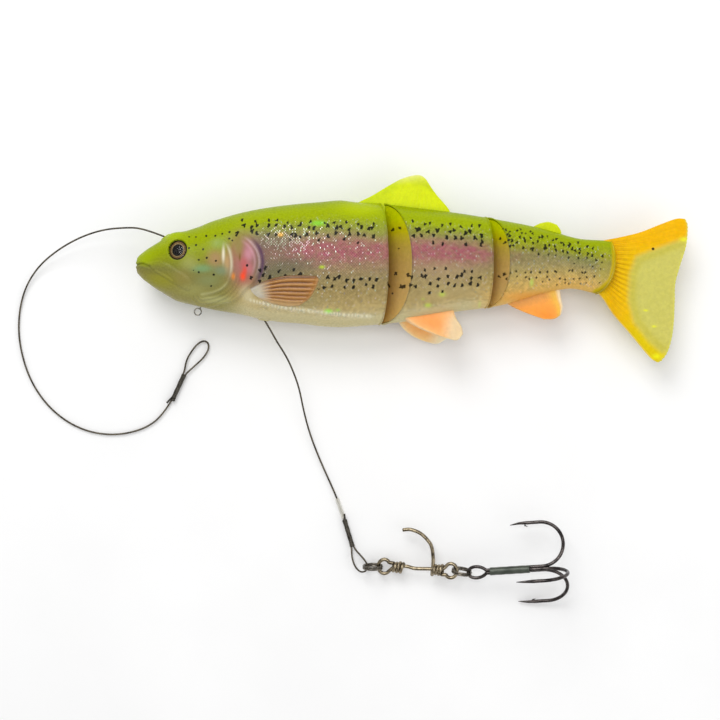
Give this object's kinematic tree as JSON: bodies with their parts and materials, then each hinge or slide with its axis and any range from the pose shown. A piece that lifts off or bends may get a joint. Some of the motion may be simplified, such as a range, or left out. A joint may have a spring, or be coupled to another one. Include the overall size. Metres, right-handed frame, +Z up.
{
  "type": "swimbait",
  "caption": "Jointed trout-shaped soft lure with a line tube, a wire trace through it, end loops, split rings, a belly pin and a treble hook.",
  "frame": {"origin": "centre of the fish's outline on the surface it lies on, right flank down", "axes": "+X from snout to tail, +Y to the back, +Z up out of the left flank"},
  "size_m": [0.2462, 0.1558, 0.031],
  "materials": {
    "soft_body": "satin painted soft plastic",
    "soft_web": "satin clear soft plastic",
    "dorsal_skin": "satin",
    "tail_skin": "satin",
    "belly_fin_skin": "satin",
    "pectoral_skin": "satin",
    "harness_fabric": "woven",
    "ballast_lead": "cast lead",
    "tube_plastic": "matte",
    "eye_foil": "printed foil",
    "eye_dome": "clear",
    "eye_wire": "bright wire",
    "trace_steel": "dark stranded wire",
    "crimp_metal": "dark nickel",
    "sleeve_plastic": "clear shrink tube",
    "ring_steel": "black nickel",
    "pin_wire": "bronzed wire",
    "hook_steel": "black nickel"
  },
  "bodies": {
    "front": {"front_body": "soft_body", "front_harness": "harness_fabric", "ballast_weight": "ballast_lead", "line_tube": "tube_plastic", "throat_eye": "eye_wire", "left_eye_foil": "eye_foil", "left_eye_dome": "eye_dome", "right_eye_foil": "eye_foil", "right_eye_dome": "eye_dome", "left_pectoral_fin": "pectoral_skin", "right_pectoral_fin": "pectoral_skin", "front_joint_web": "soft_web"},
    "mid": {"mid_body": "soft_body", "mid_harness": "harness_fabric", "dorsal_fin": "dorsal_skin", "left_pelvic_fin": "belly_fin_skin", "right_pelvic_fin": "belly_fin_skin", "rear_joint_web": "soft_web"},
    "rear": {"rear_body": "soft_body", "rear_harness": "harness_fabric", "adipose_fin": "dorsal_skin", "anal_fin": "belly_fin_skin", "tail_joint_web": "soft_web"},
    "tail": {"tail_fin": "tail_skin"},
    "trace": {"trace_front": "trace_steel", "trace_belly": "trace_steel", "front_crimp": "crimp_metal", "front_loop": "trace_steel", "belly_crimp": "crimp_metal", "belly_loop": "trace_steel", "clear_sleeve": "sleeve_plastic"},
    "leader_ring": {"leader_ring": "ring_steel"},
    "pin": {"belly_pin": "pin_wire"},
    "hook_ring": {"hook_ring": "ring_steel"},
    "treble": {"treble_hook": "hook_steel"}
  },
  "joints": [
    {"name": "front_joint", "type": "hinge", "parent": "front", "child": "mid", "pos_m": [-0.0118, 0, 0.0139], "axis": [0, 1, 0], "range_deg": [-20, 20], "stiffness_Nm_per_rad": 0.3, "deforming": ["front_joint_web"]},
    {"name": "rear_joint", "type": "hinge", "parent": "mid", "child": "rear", "pos_m": [0.0267, 0, 0.0139], "axis": [0, 1, 0], "range_deg": [-20, 20], "stiffness_Nm_per_rad": 0.15, "deforming": ["rear_joint_web"]},
    {"name": "tail_flex", "type": "hinge", "parent": "rear", "child": "tail", "pos_m": [0.0703, 0, 0.0139], "axis": [0, 1, 0], "range_deg": [-20, 20], "stiffness_Nm_per_rad": 0.05, "deforming": ["tail_joint_web"]},
    {"name": "trace_slide", "type": "hinge", "parent": "front", "child": "trace", "pos_m": [-0.1198, -0.0607, 0.0139], "axis": [0, 0, 1], "range_deg": [-3, 3]},
    {"name": "leader_ring_swing", "type": "hinge", "parent": "trace", "child": "leader_ring", "pos_m": [-0.0162, -0.1094, 0.0037], "axis": [0, 0, 1], "range_deg": [-25, 25]},
    {"name": "pin_swing", "type": "hinge", "parent": "leader_ring", "child": "pin", "pos_m": [-0.0108, -0.1094, 0.0034], "axis": [0, 0, 1], "range_deg": [-25, 25]},
    {"name": "hook_ring_swing", "type": "hinge", "parent": "pin", "child": "hook_ring", "pos_m": [0.01478, -0.11021, 0.0065], "axis": [0, 0, 1], "range_deg": [-25, 25]},
    {"name": "treble_swing", "type": "hinge", "parent": "hook_ring", "child": "treble", "pos_m": [0.0218, -0.1112, 0.00765], "axis": [0, 0, 1], "range_deg": [-25, 25]}
  ]
}
